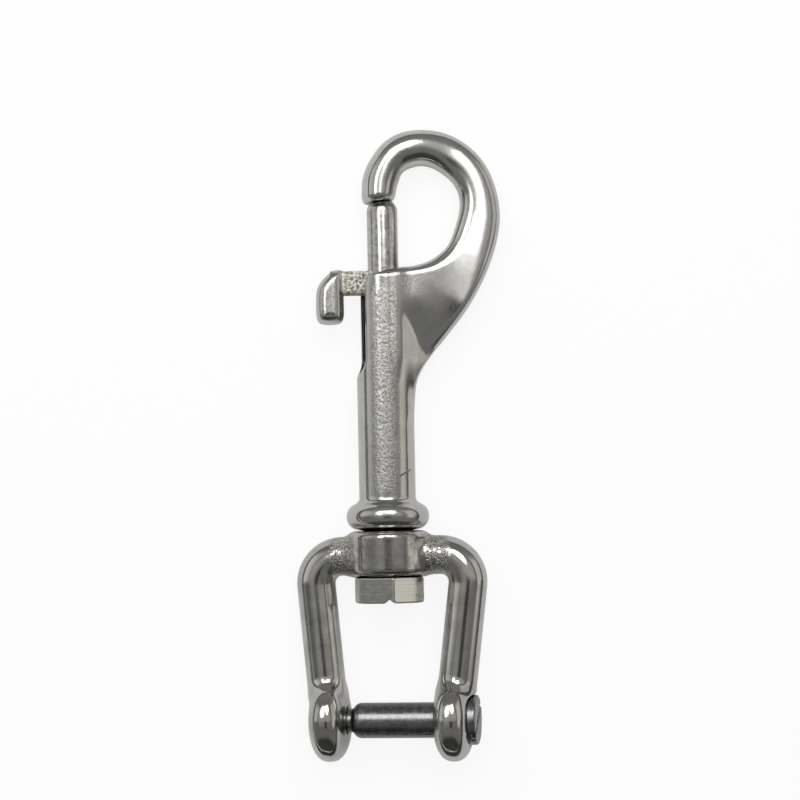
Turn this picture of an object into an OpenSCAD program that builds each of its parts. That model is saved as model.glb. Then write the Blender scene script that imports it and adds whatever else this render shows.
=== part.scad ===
// Swivel snap hook with a sprung bolt, a thumb lever and a screw-pin shackle, lying on its side.
// The origin is the middle of the shackle pin. +Y runs along the hook to its top, +X runs to the
// hook's back and +Z faces up. All lengths are millimetres and all angles are degrees.

/* [Shackle] */
// Distance from the middle of the shackle pin to the underside of the hub
shackle_reach = 25.7; // [24:0.1:32]
// Diameter of the round bar that the legs are forged from
bar_d = 6.9; // [6:0.1:7.4]
// Distance between the middles of the two ears
ear_span = 22.4; // [21:0.1:27]
// Outward lean of the left leg, which holds the pin's thread
leg_lean_left = 5; // [3:0.1:9]
// Outward lean of the right leg, beside the pin's head
leg_lean_right = 7.2; // [3:0.1:9]
// Radius of the shoulder bend, at the middle of the bar
bend_r = 4.8; // [4.2:0.1:5.6]
// Drop of the shackle's arms below the middle of the hub
bow_drop = 0.4; // [0:0.1:0.4]
// Radius of each ear
ear_r = 7.3; // [6.6:0.1:8.4]
// Thickness of each ear
ear_t = 5.2; // [4.6:0.1:6.2]
// Length of the flare between a leg and its ear
neck_len = 7; // [5:0.1:9]
// Turn of the shackle about the swivel, as it comes to rest on one ear
shackle_turn = 13; // [-30:1:30]

/* [Shackle pin] */
// Radius of the pin between the ears
pin_r = 3.15; // [2.7:0.05:3.25]
// Radius of the pin's bearing in the ear beside its head
pin_seat_r = 3.4; // [3.35:0.05:3.7]
// Radius of the threaded end
thread_r = 2.45; // [2:0.05:2.6]
// Radius of the relief groove beside the thread
relief_r = 2.1; // [1.7:0.05:2.3]
// Length of the relief groove that shows beside the ear
relief_len = 1.7; // [0.8:0.1:2.4]
// Radius of the rounded shoulder beside the relief groove
shoulder_round = 1.8; // [0.4:0.1:2.2]
// Radius of the pin's head
pin_head_r = 4.4; // [3.9:0.1:5]
// Thickness of the pin's head
pin_head_t = 1.7; // [1.3:0.1:2.4]
// Width of the driver slot in the pin's head
driver_slot_w = 1; // [0.6:0.1:1.4]
// Depth of the driver slot in the pin's head
driver_slot_depth = 0.9; // [0.5:0.1:1.1]
// Turn of the driver slot about the pin
driver_slot_turn = 37; // [0:1:90]
// Radial clearance of the pin in the ears
pin_clear = 0.08; // [0.04:0.01:0.15]
// Radial room around the pin's head, where the ear is faced off for it
head_room = 0.3; // [0.1:0.1:0.6]

/* [Swivel] */
// Radius of the hub that the shackle turns with
hub_r = 7.15; // [6.8:0.05:8.2]
// Length of the hub along the swivel
hub_len = 8; // [7.8:0.1:10]
// Rounding of the hub's edges
hub_round = 0.8; // [0.3:0.1:1.2]
// Radius of the swivel pin's shank
shank_r = 3.2; // [2.9:0.05:3.5]
// Depth that the shank reaches into the foot of the barrel
shank_grip = 7; // [6:0.1:9]
// Width of the swivel pin's six-sided head across its flats
head_af = 11.6; // [10.5:0.1:12.4]
// Thickness of the swivel pin's head
head_t = 4.6; // [3.8:0.1:5.4]
// Chamfer around the end of the swivel pin's head
head_chamfer = 0.8; // [0.3:0.1:1.2]
// Turn of the six-sided head about the swivel
head_turn = 5; // [-30:1:30]
// Depth of the chisel mark across the end of the head
chisel_depth = 0.6; // [0.3:0.1:0.9]
// Gap at each end of the hub
swivel_gap = 0.25; // [0.1:0.05:0.4]
// Radial clearance of the shank in the hub
swivel_clear = 0.08; // [0.04:0.01:0.15]

/* [Barrel] */
// Length of the barrel from the underside of its collar to its rim
barrel_len = 46.4; // [43:0.1:52]
// Radius of the barrel
barrel_r = 5.05; // [4.7:0.05:5.6]
// Radius of the collar at the barrel's foot
collar_r = 7.4; // [7:0.05:8.4]
// Length of the collar
collar_len = 5.2; // [4.6:0.1:6.4]
// Rounding of the collar's edges
collar_round = 1.8; // [1:0.1:2.2]
// Radius of the hollow between the collar and the barrel
collar_fillet = 1.4; // [0.8:0.1:2]
// Length of the lever slot, from the barrel's rim
slot_len = 18.3; // [16:0.1:20]
// Width of the lever slot
slot_w = 5; // [4:0.1:5.2]

/* [Hook] */
// Opening between the barrel's rim and the end of the hook's nose
throat = 13; // [12:0.1:15]
// Height of the hook's top above the end of its nose
crown = 12.5; // [12:0.1:15]
// Distance from the barrel's axis to the hook's back
hook_reach = 21.3; // [20:0.1:24]
// Depth of the hook's bar, front to back
hook_bar_t = 6.4; // [5.8:0.1:7.2]
// Depth of the web beside the barrel, front to back
web_t = 8; // [6.8:0.1:8.8]
// Distance from the barrel's rim down to the foot of the web
web_drop = 23.3; // [20:0.1:26]
// Rounding of the nose's end
nose_round = 1.1; // [0.6:0.1:1.6]

/* [Plunger] */
// Radius of the plunger
plunger_r = 2.75; // [2.4:0.05:3]
// Radial clearance of the plunger in the barrel
plunger_clear = 0.06; // [0.04:0.01:0.12]
// Radius of the pilot that enters the nose
pilot_r = 1.15; // [0.9:0.05:1.4]
// Length of the pilot inside the nose
pilot_len = 2; // [1.4:0.1:2.6]
// Length of the cone below the pilot
cone_len = 1.8; // [1.2:0.1:2.4]
// Length of the plunger below the middle of the lever
plunger_tail = 16; // [14:0.1:17]
// Clearance between the pilot and the nose
pilot_clear = 0.15; // [0.08:0.01:0.25]

/* [Lever] */
// Distance from the barrel's axis to the outer side of the knob
knob_reach = 12.2; // [11.4:0.1:14]
// Width of the knob
knob_w = 5; // [4.2:0.1:5.8]
// Length of the knob along the barrel
knob_len = 9.8; // [8:0.1:12]
// Depth of the knob, front to back
knob_t = 6.2; // [5.2:0.1:7]
// Height of the arm along the barrel
arm_h = 3.9; // [3.6:0.1:4.6]
// Distance from the barrel's rim down to the top of the arm
arm_drop = 0.3; // [0.1:0.1:1]
// Rounding of the arm's edges
arm_round = 0.7; // [0.3:0.1:1]
// Clearance on each side of the arm in its slot
arm_clear = 0.3; // [0.2:0.05:0.5]
// Radius of the spigot that joins the lever to the plunger
spigot_r = 1.4; // [1:0.05:1.6]
// Wall of the plunger past the end of the spigot
spigot_wall = 1.1; // [0.8:0.1:1.6]

/* [Spring] */
// Diameter of the spring's wire
wire_d = 0.7; // [0.5:0.05:0.8]
// Number of turns of the spring
spring_turns = 8; // [6:0.5:9]
// Clearance around the spring, and at each end of it
spring_clear = 0.12; // [0.08:0.01:0.2]

/* [Hidden] */
$fn = 64;
// Extra length by which a cut runs past the face that it opens
past = 1;
// Step between a lofted surface and the round one that it runs into
seam = 0.06;

// Heights along the swivel axis
hub_y = shackle_reach;
foot_y = hub_y + hub_len + swivel_gap;
rim_y = foot_y + barrel_len;
nose_y = rim_y + throat;
shank_top_y = foot_y + shank_grip;
arm_y = rim_y - arm_drop - arm_h / 2;
slot_y = rim_y - slot_len;
cone_y = nose_y - cone_len;
tip_y = nose_y + pilot_len;
tail_y = arm_y - plunger_tail;
head_y = hub_y - swivel_gap;

// Places across the shackle
ear_x = ear_span / 2;
ear_in = ear_x - ear_t / 2;
ear_out = ear_x + ear_t / 2;
bar_r = bar_d / 2;
bow_y = hub_y + hub_len / 2 - bow_drop;
bend_y = bow_y - bend_r;
// Where an arm ends and its bend begins, for a leg with this outward lean
function bend_x(lean) = ear_x + bow_y * tan(lean) - bend_r / tan(45 - lean / 2);
neck_top = neck_len + bar_r;

bore_r = plunger_r + plunger_clear;
arm_t = slot_w - 2 * arm_clear;
coil_r = bore_r - spring_clear - wire_d / 2;
// The spring's ends rest on the swivel pin and on the plunger
spring_y = shank_top_y + spring_clear + wire_d / 2;
spring_len = tail_y - spring_clear - wire_d / 2 - spring_y;
// The web's inner edge lies in the middle of the barrel's wall
root_x = (bore_r + barrel_r) / 2;

// Number of points round a lofted section, and of rings between two drawn sections
RING_POINTS = 24;
RINGS_BETWEEN = 3;
// Sides of the spring's wire, and rings along one turn of it
WIRE_SIDES = 6;
WIRE_RINGS = 16;

// A height on the hook: -1 to 0 spans the web, 0 to 1 the throat, 1 to 2 the crown
function level(h) = h < 0 ? rim_y + h * web_drop
    : h < 1 ? rim_y + h * throat
    : nose_y + (h - 1) * crown;
function at(x, h) = [x * hook_reach, level(h)];

// The hook's sections from the nose over the top to the foot of the web:
// inner point, outer point, half depth, squareness of the section
HOOK_SECTIONS = [
    [at(0.117, 1.03), at(-0.169, 1.02), hook_bar_t * 0.45, 2.2],
    [at(0.121, 1.11), at(-0.169, 1.15), hook_bar_t * 0.48, 2.2],
    [at(0.136, 1.22), at(-0.158, 1.34), hook_bar_t * 0.49, 2.2],
    [at(0.169, 1.36), at(-0.108, 1.55), hook_bar_t / 2, 2.2],
    [at(0.211, 1.43), at(0.009, 1.83), hook_bar_t / 2, 2.2],
    [at(0.268, 1.47), at(0.160, 1.97), hook_bar_t / 2, 2.2],
    [at(0.343, 1.49), at(0.343, 2.00), hook_bar_t / 2, 2.2],
    [at(0.441, 1.45), at(0.547, 1.955), hook_bar_t / 2, 2.2],
    [at(0.535, 1.35), at(0.732, 1.775), hook_bar_t / 2, 2.2],
    [at(0.606, 1.23), at(0.876, 1.515), hook_bar_t / 2, 2.2],
    [at(0.651, 1.07), at(0.962, 1.17), hook_bar_t * 0.51, 2.3],
    [at(0.662, 0.86), at(1.000, 0.79), hook_bar_t * 0.52, 2.4],
    [at(0.618, 0.60), at(0.974, 0.45), hook_bar_t * 0.54, 2.6],
    [at(0.554, 0.34), at(0.912, 0.11), hook_bar_t * 0.56, 2.9],
    [at(0.441, 0.17), at(0.824, -0.12), web_t * 0.47, 3.2],
    [at(0.338, 0.09), at(0.702, -0.31), web_t * 0.49, 3.4],
    [[root_x + 0.6, rim_y - 0.2], at(0.563, -0.47), web_t / 2, 3.6],
    [[root_x, level(-0.22)], at(0.420, -0.62), web_t * 0.46, 3.6],
    [[root_x, level(-0.50)], at(0.314, -0.75), web_t * 0.38, 3.2],
    [[root_x, level(-0.78)], at(0.251, -0.87), web_t * 0.29, 2.6],
    [[root_x - 0.1, level(-0.97)], [barrel_r - 0.4, level(-0.99)], web_t * 0.2, 2.2]
];

// The knob's sections from its lower end to its top: height, inner side and outer side as
// shares of its length and width, then the half depth as a share of its depth
KNOB_SECTIONS = [
    [0.00, 0.30, 0.72, 0.25],
    [0.03, 0.12, 0.88, 0.36],
    [0.09, 0.02, 0.97, 0.45],
    [0.20, 0.00, 1.00, 0.50],
    [0.50, 0.00, 0.99, 0.50],
    [0.68, 0.00, 0.89, 0.49],
    [0.80, 0.01, 0.74, 0.46],
    [0.90, 0.03, 0.52, 0.40],
    [0.97, 0.06, 0.34, 0.31],
    [1.00, 0.10, 0.24, 0.20]
];

// A smooth curve through the rows of a table: the value at u between rows b and c
function blend(a, b, c, d, u) = b + (c - a) * u / 2
    + (a - 2.5 * b + 2 * c - d / 2) * u * u
    + (1.5 * (b - c) + (d - a) / 2) * u * u * u;
function row(table, i) = table[max(0, min(len(table) - 1, i))];
function smooth(table, steps) = [
    for (i = [0 : (len(table) - 1) * steps])
        let (k = min(floor(i / steps), len(table) - 2), u = i / steps - k)
        blend(row(table, k - 1), row(table, k), row(table, k + 1), row(table, k + 2), u)
];

function flattened(s) = [s[0][0], s[0][1], s[1][0], s[1][1], s[2], s[3]];
function signed_power(v, p) = sign(v) * pow(abs(v), p);

// One ring of a flat bar: it runs from the inner point to the outer point, half_z deep each way
function section_ring(inner, outer, half_z, squareness) = [
    for (k = [0 : RING_POINTS - 1])
        let (
            a = -360 * k / RING_POINTS,
            across = signed_power(cos(a), 2 / squareness),
            up = signed_power(sin(a), 2 / squareness),
            p = (inner + outer) / 2 + (outer - inner) / 2 * across
        )
        [p[0], p[1], half_z * up]
];

// A closed solid over rings of equally many points
module loft(rings) {
    n = len(rings[0]);
    last = len(rings) - 1;
    points = [for (ring = rings) each ring];
    start = [for (k = [n - 1 : -1 : 0]) k];
    finish = [for (k = [0 : n - 1]) last * n + k];
    sides = [
        for (j = [0 : last - 1], k = [0 : n - 1])
            let (m = (k + 1) % n)
            each [[j * n + k, j * n + m, (j + 1) * n + k],
                  [j * n + m, (j + 1) * n + m, (j + 1) * n + k]]
    ];
    polyhedron(points, concat([start], sides, [finish]));
}

// A cylinder along Y from one height to another, or a cone where a second radius is given
module upright(r, from, to, r_end = undef) {
    translate([0, from, 0])
        rotate([-90, 0, 0])
            cylinder(h = to - from, r1 = r, r2 = is_undef(r_end) ? r : r_end);
}

// A cylinder along X from one place to another
module crosswise(r, from, to) {
    translate([from, 0, 0]) rotate([0, 90, 0]) cylinder(h = to - from, r = r);
}

// Half of a lathe outline, drawn as radius and height, turned about the Y axis
module turned() {
    rotate([-90, 0, 0]) rotate_extrude() children();
}

// A band between two heights and out to a radius, with its outer edges rounded
module rounded_band(r, from, to, round) {
    translate([0, from + round]) square([r, to - from - 2 * round]);
    translate([0, from]) square([r - round, to - from]);
    for (h = [from + round, to - round])
        translate([r - round, h]) circle(round, $fn = 32);
}

// The bar and the web, as one lofted casting
module hook_bar() {
    rows = smooth([for (s = HOOK_SECTIONS) flattened(s)], RINGS_BETWEEN);
    first = rows[0];
    mid = ([first[0], first[1]] + [first[2], first[3]]) / 2;
    half = ([first[2], first[3]] - [first[0], first[1]]) / 2;
    // The nose's end closes in a quarter round
    nose = [
        for (a = [75 : -25 : 25])
            let (
                inset = nose_round * (1 - cos(a)),
                share = 1 - inset / norm(half),
                end = mid - [0, nose_round * (sin(a) - sin(25))]
            )
            section_ring(end - half * share, end + half * share, first[4] - inset, first[5])
    ];
    body = [for (r = rows) section_ring([r[0], r[1]], [r[2], r[3]], r[4], r[5])];
    loft(concat(nose, [for (i = [1 : len(body) - 1]) body[i]]));
}

module hook_body() {
    color([0.66, 0.65, 0.62])
    difference() {
        union() {
            turned() {
                translate([0, foot_y]) square([barrel_r, barrel_len]);
                rounded_band(collar_r, foot_y, foot_y + collar_len, collar_round);
                collar_hollow();
            }
            hook_bar();
        }
        upright(bore_r, shank_top_y - past, rim_y + past);
        upright(shank_r, foot_y - past, shank_top_y);
        lever_slot();
        nose_socket();
    }
}

// The hollow that leads from the collar's top into the barrel
module collar_hollow() {
    top = foot_y + collar_len;
    difference() {
        translate([0, top - past]) square([barrel_r + collar_fillet, past + collar_fillet]);
        translate([barrel_r + collar_fillet, top + collar_fillet]) circle(collar_fillet);
    }
}

// The slot is open at the rim and has a round end
module lever_slot() {
    side = barrel_r + past;
    translate([-side, slot_y + slot_w / 2, -slot_w / 2])
        cube([side, slot_len - slot_w / 2 + past, slot_w]);
    translate([-side, slot_y + slot_w / 2, 0])
        rotate([0, 90, 0]) cylinder(h = side, r = slot_w / 2);
}

// The nose is hollowed for the plunger's cone and pilot
module nose_socket() {
    upright(pilot_r + pilot_clear, cone_y, tip_y + pilot_clear);
    upright(plunger_r + 2 * pilot_clear, cone_y - past, nose_y + 2 * pilot_clear,
        r_end = pilot_r + pilot_clear);
}

module plunger() {
    color([0.72, 0.71, 0.69])
    difference() {
        union() {
            upright(plunger_r, tail_y, cone_y);
            upright(plunger_r, cone_y, nose_y, r_end = pilot_r);
            upright(pilot_r, nose_y - past / 2, tip_y);
        }
        translate([0, arm_y, 0]) crosswise(spigot_r, -plunger_r - past, plunger_r - spigot_wall);
    }
}

module thumb_lever() {
    color([0.70, 0.69, 0.66]) {
        knob();
        difference() {
            translate([0, arm_y, 0]) arm();
            upright(plunger_r, arm_y - arm_h, arm_y + arm_h);
        }
        translate([0, arm_y, 0]) crosswise(spigot_r, -plunger_r - arm_round, plunger_r - spigot_wall);
    }
}

// The bar between the knob and the plunger, with rounded edges
module arm() {
    inner = knob_reach - knob_w / 2;
    translate([-inner, 0, 0])
        rotate([90, 0, 90])
            linear_extrude(inner - plunger_r / 2)
                rounded_plate(arm_h, arm_t, arm_round);
}

module rounded_plate(w, h, round) {
    square([w - 2 * round, h], center = true);
    square([w, h - 2 * round], center = true);
    for (x = [-1, 1], y = [-1, 1])
        translate([x * (w / 2 - round), y * (h / 2 - round)]) circle(round, $fn = 24);
}

module knob() {
    top = rim_y + arm_drop;
    rows = smooth(KNOB_SECTIONS, 2);
    loft([
        for (r = rows)
            let (y = top - knob_len * (1 - r[0]), near = knob_w - knob_reach)
            section_ring_level(y, near - knob_w * r[1], near - knob_w * r[2], knob_t * r[3])
    ]);
}

// One level ring of the knob between two sides
function section_ring_level(y, near, far, half_z) = [
    for (k = [0 : RING_POINTS - 1])
        let (
            a = 360 * k / RING_POINTS,
            across = signed_power(cos(a), 0.8),
            up = signed_power(sin(a), 0.8)
        )
        [(near + far) / 2 + (near - far) / 2 * across, y, half_z * up]
];

// A compression spring, swept along its helix
module plunger_spring() {
    count = round(spring_turns * WIRE_RINGS);
    color([0.55, 0.55, 0.54])
    loft([
        for (i = [0 : count])
            let (
                turn = 360 * i / WIRE_RINGS,
                y = spring_y + spring_len * i / count
            )
            [for (k = [0 : WIRE_SIDES - 1])
                let (
                    b = -360 * k / WIRE_SIDES,
                    r = coil_r + wire_d / 2 * cos(b)
                )
                [r * sin(turn), y + wire_d / 2 * sin(b), r * cos(turn)]]
    ]);
}

module swivel_pin() {
    color([0.60, 0.59, 0.56]) {
        upright(shank_r, head_y - past, shank_top_y);
        intersection() {
            // A corner of the six sides faces the front, but for the head's turn
            translate([0, head_y - head_t, 0])
                rotate([-90, 30 + head_turn, 0])
                    cylinder(h = head_t, r = head_af / sqrt(3), $fn = 6);
            difference() {
                head_blank();
                chisel_mark();
            }
        }
    }
}

// The round blank that the six sides are cut from, with its end chamfered
module head_blank() {
    r = head_af / 2 + head_chamfer;
    upright(r - head_chamfer, head_y - head_t, head_y - head_t + head_chamfer, r_end = r + head_chamfer / 2);
    upright(r + head_chamfer / 2, head_y - head_t + head_chamfer, head_y);
}

module chisel_mark() {
    translate([0, head_y - head_t, 0])
        rotate([0, 0, 45])
            cube([chisel_depth * sqrt(2), chisel_depth * sqrt(2), 4 * head_af], center = true);
}

module shackle() {
    color([0.66, 0.65, 0.62])
    rotate([0, -shackle_turn, 0])
    difference() {
        union() {
            turned() rounded_band(hub_r, hub_y, hub_y + hub_len, hub_round);
            // The arms reach a little way into the bends
            translate([0, bow_y, 0])
                crosswise(bar_r - seam, -bend_x(leg_lean_left) - 5 * seam, bend_x(leg_lean_right) + 5 * seam);
            shackle_side(leg_lean_right);
            mirror([1, 0, 0]) shackle_side(leg_lean_left);
        }
        upright(shank_r + swivel_clear, hub_y - past, hub_y + hub_len + past);
        crosswise(pin_seat_r + pin_clear, 0, ear_out + past);
        crosswise(thread_r + pin_clear, -ear_out - past, 0);
        crosswise(pin_head_r + head_room, ear_out, ear_out + ear_t);
    }
}

// One bend, its leg with an outward lean, and its ear
module shackle_side(lean) {
    leg_top = [bend_x(lean) + bend_r * cos(lean), bend_y - bend_r * sin(lean)];
    translate([bend_x(lean), bend_y, 0])
        rotate([0, 0, -lean])
            rotate_extrude(angle = 90 + lean)
                translate([bend_r, 0]) circle(bar_r);
    // The leg begins a little way inside the bend
    translate([leg_top[0] + 5 * seam * sin(lean), leg_top[1] + 5 * seam * cos(lean), 0])
        rotate([90, 0, -lean])
            cylinder(h = (leg_top[1] - neck_top) / cos(lean) + 5 * seam, r = bar_r - seam);
    neck(lean);
    translate([ear_x, 0, 0]) ear();
}

// A disc with a fully rounded rim, lying across X
module ear() {
    rotate([0, 90, 0])
        rotate_extrude() {
            translate([0, -ear_t / 2]) square([ear_r - ear_t / 2, ear_t]);
            intersection() {
                translate([ear_r - ear_t / 2, 0]) circle(ear_t / 2);
                translate([0, -ear_t / 2]) square([ear_r, ear_t]);
            }
        }
}

// The forged flare between the round leg and the flat ear, turned step by step to the leg's lean.
// Its top stands a little way inside the leg.
module neck(lean) {
    low = ear_r * 0.55;
    flare = ear_r * 0.8;
    top_r = bar_r - 2 * seam;
    ear_half = ear_t / 2 - seam;
    loft([
        for (u = [0, 0.1, 0.22, 0.4, 0.6, 0.8, 1, 1 + 0.5 / (neck_top - low)])
            let (
                y = low + (neck_top - low) * u,
                w = min(u, 1),
                x = ear_x + y * tan(lean) * (1 - pow(1 - w, 6)),
                half_x = top_r + (ear_half - top_r) * pow(1 - w, 6),
                half_z = top_r + (flare - top_r) * pow(1 - w, 2)
            )
            [for (k = [0 : RING_POINTS - 1])
                let (a = 360 * k / RING_POINTS, out = half_x * cos(a))
                [x + out * cos(lean * w), y - out * sin(lean * w), half_z * sin(a)]]
    ]);
}

module shackle_pin() {
    neck_x = -ear_in + relief_len;
    color([0.42, 0.42, 0.43])
    rotate([0, -shackle_turn, 0])
    difference() {
        union() {
            crosswise(thread_r, -ear_out + pin_clear * 5, -ear_in);
            crosswise(relief_r, -ear_in - past, 0);
            rotate([0, 90, 0])
                rotate_extrude() {
                    translate([0, neck_x + shoulder_round]) square([pin_r, ear_in - neck_x - shoulder_round]);
                    translate([0, neck_x]) square([pin_r - shoulder_round, shoulder_round + seam]);
                    intersection() {
                        translate([0, neck_x]) square([pin_r, shoulder_round + seam]);
                        translate([pin_r - shoulder_round, neck_x + shoulder_round])
                            circle(shoulder_round, $fn = 48);
                    }
                }
            crosswise(pin_seat_r, ear_in - pin_clear, ear_out + pin_clear);
            crosswise(pin_head_r, ear_out + pin_clear, ear_out + pin_clear + pin_head_t);
        }
        translate([ear_out + pin_clear + pin_head_t, 0, 0])
            rotate([driver_slot_turn, 0, 0])
                cube([2 * driver_slot_depth, driver_slot_w, 3 * pin_head_r], center = true);
    }
}

hook_body();
plunger();
thumb_lever();
plunger_spring();
swivel_pin();
shackle();
shackle_pin();
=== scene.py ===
# %% [markdown]
# # A swivel snap hook in polished cast steel
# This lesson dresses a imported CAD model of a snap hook. The CAD gives the exact places and the moving
# bodies; Blender gives the soft shapes of a casting, the polish and the light. Sizes are written in
# millimetres, as on a drawing, and turned into metres where a mesh is made.

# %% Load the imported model
import math

import bpy
import numpy as np
from mathutils import Matrix, Vector


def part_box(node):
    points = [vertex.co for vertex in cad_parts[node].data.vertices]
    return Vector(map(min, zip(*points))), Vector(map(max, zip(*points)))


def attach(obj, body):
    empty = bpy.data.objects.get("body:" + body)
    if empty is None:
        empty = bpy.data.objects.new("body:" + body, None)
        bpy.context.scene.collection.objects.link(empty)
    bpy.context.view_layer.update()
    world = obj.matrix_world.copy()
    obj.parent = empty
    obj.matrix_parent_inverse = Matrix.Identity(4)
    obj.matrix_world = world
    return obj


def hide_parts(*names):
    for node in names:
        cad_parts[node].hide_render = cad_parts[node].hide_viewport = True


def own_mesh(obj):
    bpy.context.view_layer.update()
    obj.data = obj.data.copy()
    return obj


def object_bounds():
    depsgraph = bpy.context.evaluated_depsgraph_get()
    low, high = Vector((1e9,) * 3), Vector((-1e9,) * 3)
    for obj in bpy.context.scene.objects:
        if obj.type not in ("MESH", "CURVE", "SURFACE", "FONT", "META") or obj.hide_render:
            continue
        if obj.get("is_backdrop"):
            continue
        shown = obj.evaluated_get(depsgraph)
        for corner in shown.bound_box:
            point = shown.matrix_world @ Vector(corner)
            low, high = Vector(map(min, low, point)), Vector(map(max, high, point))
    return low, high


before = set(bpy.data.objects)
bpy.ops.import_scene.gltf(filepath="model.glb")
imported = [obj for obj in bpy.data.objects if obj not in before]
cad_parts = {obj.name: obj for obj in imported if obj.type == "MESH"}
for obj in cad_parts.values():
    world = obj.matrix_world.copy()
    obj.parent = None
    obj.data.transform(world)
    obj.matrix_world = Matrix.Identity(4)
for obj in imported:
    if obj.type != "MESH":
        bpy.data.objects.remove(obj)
cad_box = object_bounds()
MM = 0.001
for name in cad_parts:
    low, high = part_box(name)
    print(name, [round(side / MM, 1) for side in high - low], "mm")

# %% [markdown]
# ## Sizes
# These are the sizes that the CAD was drawn to. The origin is the middle of the shackle pin, Y runs up
# the hook, X to the hook's back and Z towards the viewer. Repeating them here keeps every dressed piece
# on the solid that it stands for.

# %% Sizes in millimetres
BARREL_FOOT, BARREL_RIM, BARREL_R = 33.95, 80.35, 5.05
COLLAR_R, COLLAR_LENGTH, COLLAR_ROUND = 7.4, 5.2, 2.3
BORE_R, BORE_FOOT, SHANK_R = 2.81, 40.95, 3.2
SLOT_FOOT, SLOT_HALF = 62.05, 2.5
NOSE_END = 93.35
PLUNGER_R, PILOT_R, PILOT_TIP, CONE_FOOT, PLUNGER_TAIL = 2.75, 1.15, 95.35, 91.55, 62.1
ARM_MIDDLE, ARM_FOOT, ARM_TOP, ARM_DEPTH = 78.1, 76.15, 80.3, 4.4
HUB_FOOT, HUB_LENGTH, HUB_R = 25.7, 8.0, 7.15
HEAD_TOP, HEAD_THICK, HEAD_FLATS = 25.45, 4.6, 11.6
BAR_R, BOW_Y, BEND_R = 3.45, 29.3, 4.8
EAR_X, EAR_R, EAR_HALF, EAR_BULGE = 11.2, 7.3, 2.6, 3.5
LEAN = {-1: math.radians(5.0), 1: math.radians(7.2)}
SHACKLE_TURN = math.radians(-13)
PIN_R, PIN_SEAT_R, PIN_HEAD_R, PIN_HEAD_T, THREAD_R, RELIEF_R = 3.15, 3.4, 4.4, 1.7, 2.45, 2.1
HOOK_TOP, CLEARANCE, HEAD_ROOM = 105.85, 0.08, 0.3
print("hook length:", round(HOOK_TOP + EAR_R, 1), "mm")

# %% [markdown]
# ## Rules instead of vertices
# A casting has no corners: each bar runs into the next one through a fillet. Moving vertices by hand to
# get that is slow, and a bevel on a Boolean often breaks. Here each casting is a rule instead, a function
# that is negative inside the metal and positive outside. Rules join with a soft minimum, which leaves the
# fillet by itself.

# %% Soft joins between two rules
def soft_min(a, b, k):
    """The smaller of two values, with a fillet of reach k where they are nearly equal."""
    h = np.clip(0.5 + 0.5 * (b - a) / k, 0, 1)
    return b + (a - b) * h - k * h * (1 - h)


def soft_max(a, b, k):
    """The larger of two values, with the same fillet. It cuts one rule by another."""
    return -soft_min(-a, -b, k)


def ease(v, low, high):
    """Goes softly from 0 at low to 1 at high."""
    t = np.clip((v - low) / (high - low), 0, 1)
    return t * t * (3 - 2 * t)


print("two faces 3 mm away, joined over 1 mm:", round(float(soft_min(3.0, 3.0, 1.0)), 2), "mm away")

# %% [markdown]
# ## Where a rule crosses a grid
# The skin is found on a grid. Where two neighbouring corners disagree, one inside and one outside, the
# surface crosses the edge between them. Each cell gets one vertex in the middle of its crossings, and
# each crossed edge gets one face between the four cells round it. That leaves even four-sided faces.

# %% Find the crossed cells
def crossed_cells(values, axes):
    """The middle of the crossings in each cell that the skin passes through, and the faces between them."""
    inside = values < 0
    cells = [n - 1 for n in values.shape]
    total, count = np.zeros((*cells, 3)), np.zeros(cells)
    edges = []
    for d in range(3):
        others = [a for a in range(3) if a != d]
        near = np.take(values, range(values.shape[d] - 1), axis=d)
        far = np.take(values, range(1, values.shape[d]), axis=d)
        hit = np.argwhere((near < 0) != (far < 0))
        share = near[tuple(hit.T)] / (near[tuple(hit.T)] - far[tuple(hit.T)])
        point = np.stack([axes[a][hit[:, a]] for a in range(3)], 1)
        point[:, d] += share * (axes[d][1] - axes[d][0])
        round_edge = []
        for i, j in ((0, 0), (1, 0), (1, 1), (0, 1)):
            cell = hit.copy()
            cell[:, others[0]] -= i
            cell[:, others[1]] -= j
            round_edge.append(cell)
            np.add.at(total, tuple(cell.T), point)
            np.add.at(count, tuple(cell.T), 1)
        flip = inside[tuple(hit.T)] == (d == 1)
        edges.append((round_edge, flip))
    return total, count, edges
print("directions that are searched for crossings:", 3)

# %% [markdown]
# ## Skinning a rule
# The first vertices are only near the surface, so each one is moved onto it along the rule's own slope,
# a few times over. That slope is also the exact normal, which keeps reflections clean.

# %% Skin a rule
SETTLE_PASSES, LEAST_SLOPE = 4, 1e-6


def slope_of(rule, points, h=0.02):
    """The rule's value and its slope, from a small step either way along each axis."""
    x, y, z = points.T
    along_x = rule(x + h, y, z) - rule(x - h, y, z)
    along_y = rule(x, y + h, z) - rule(x, y - h, z)
    along_z = rule(x, y, z + h) - rule(x, y, z - h)
    return rule(x, y, z), np.stack([along_x, along_y, along_z], 1) / (2 * h)


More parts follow.
